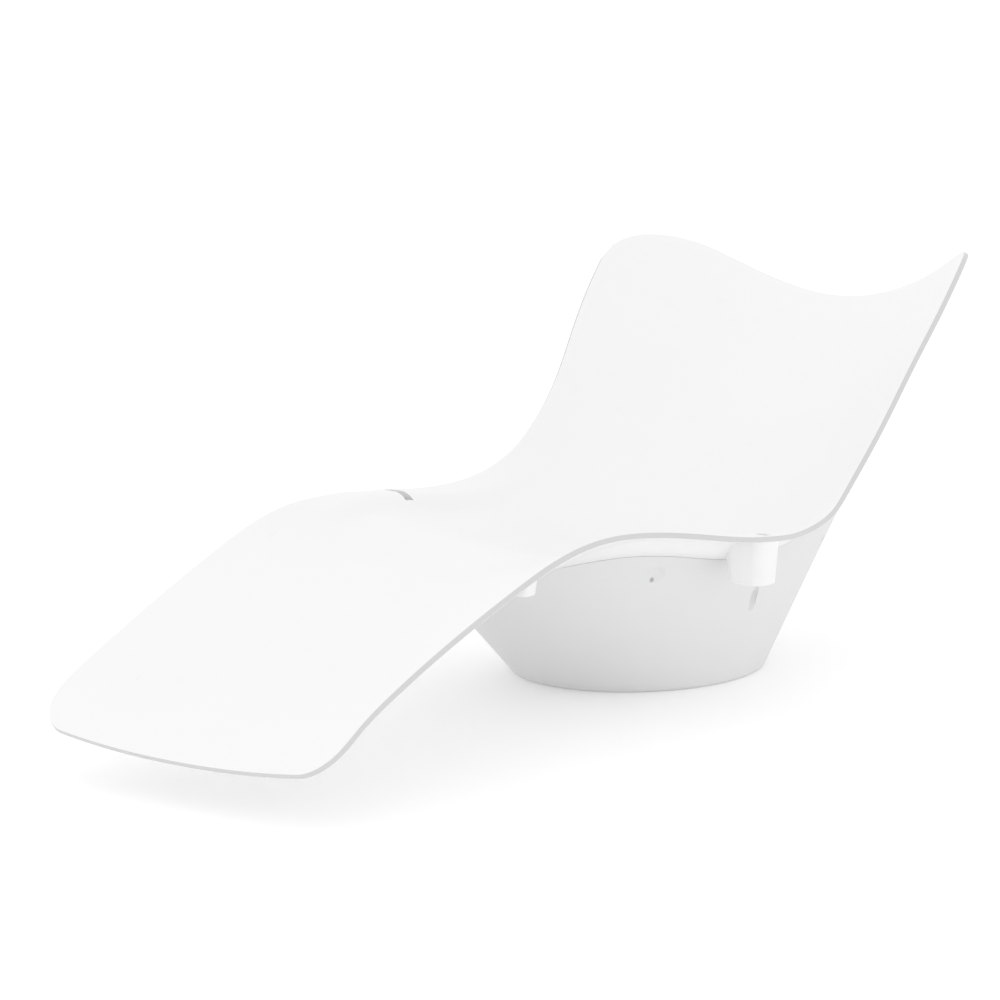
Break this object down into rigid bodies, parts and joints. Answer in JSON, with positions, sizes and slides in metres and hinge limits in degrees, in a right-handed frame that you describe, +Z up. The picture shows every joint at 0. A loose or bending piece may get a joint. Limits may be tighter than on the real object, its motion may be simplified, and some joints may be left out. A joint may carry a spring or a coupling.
{
  "type": "spa relaxation lounger",
  "caption": "Free-standing reclined lounger: a thin double-curved moulded seat shell with slotted side sockets, fixed on a flared hollow oval tub with rubber pads.",
  "frame": {"origin": "floor level, on the centre plane, midway between the foot end and the head end", "axes": "+X across to one side rim, +Y from the foot end to the head end, +Z up"},
  "size_m": [0.7998, 1.9015, 0.7003],
  "materials": {
    "shell_plastic": "satin moulded white",
    "tub_plastic": "satin moulded white",
    "screw_steel": "stainless",
    "insert_brass": "turned",
    "pad_rubber": "matt"
  },
  "bodies": {
    "root": {"seat_shell": "shell_plastic", "base_tub": "tub_plastic", "fixing_screw_front_right": "screw_steel", "fixing_screw_front_left": "screw_steel", "fixing_screw_rear_right": "screw_steel", "fixing_screw_rear_left": "screw_steel", "washer_front_right": "screw_steel", "washer_front_left": "screw_steel", "washer_rear_right": "screw_steel", "washer_rear_left": "screw_steel", "threaded_insert_front_right": "insert_brass", "threaded_insert_front_left": "insert_brass", "threaded_insert_rear_right": "insert_brass", "threaded_insert_rear_left": "insert_brass", "foot_pad_front_right": "pad_rubber", "foot_pad_front_left": "pad_rubber", "foot_pad_rear_right": "pad_rubber", "foot_pad_rear_left": "pad_rubber", "foot_screw_front_right": "screw_steel", "foot_screw_front_left": "screw_steel", "foot_screw_rear_right": "screw_steel", "foot_screw_rear_left": "screw_steel"}
  },
  "joints": []
}
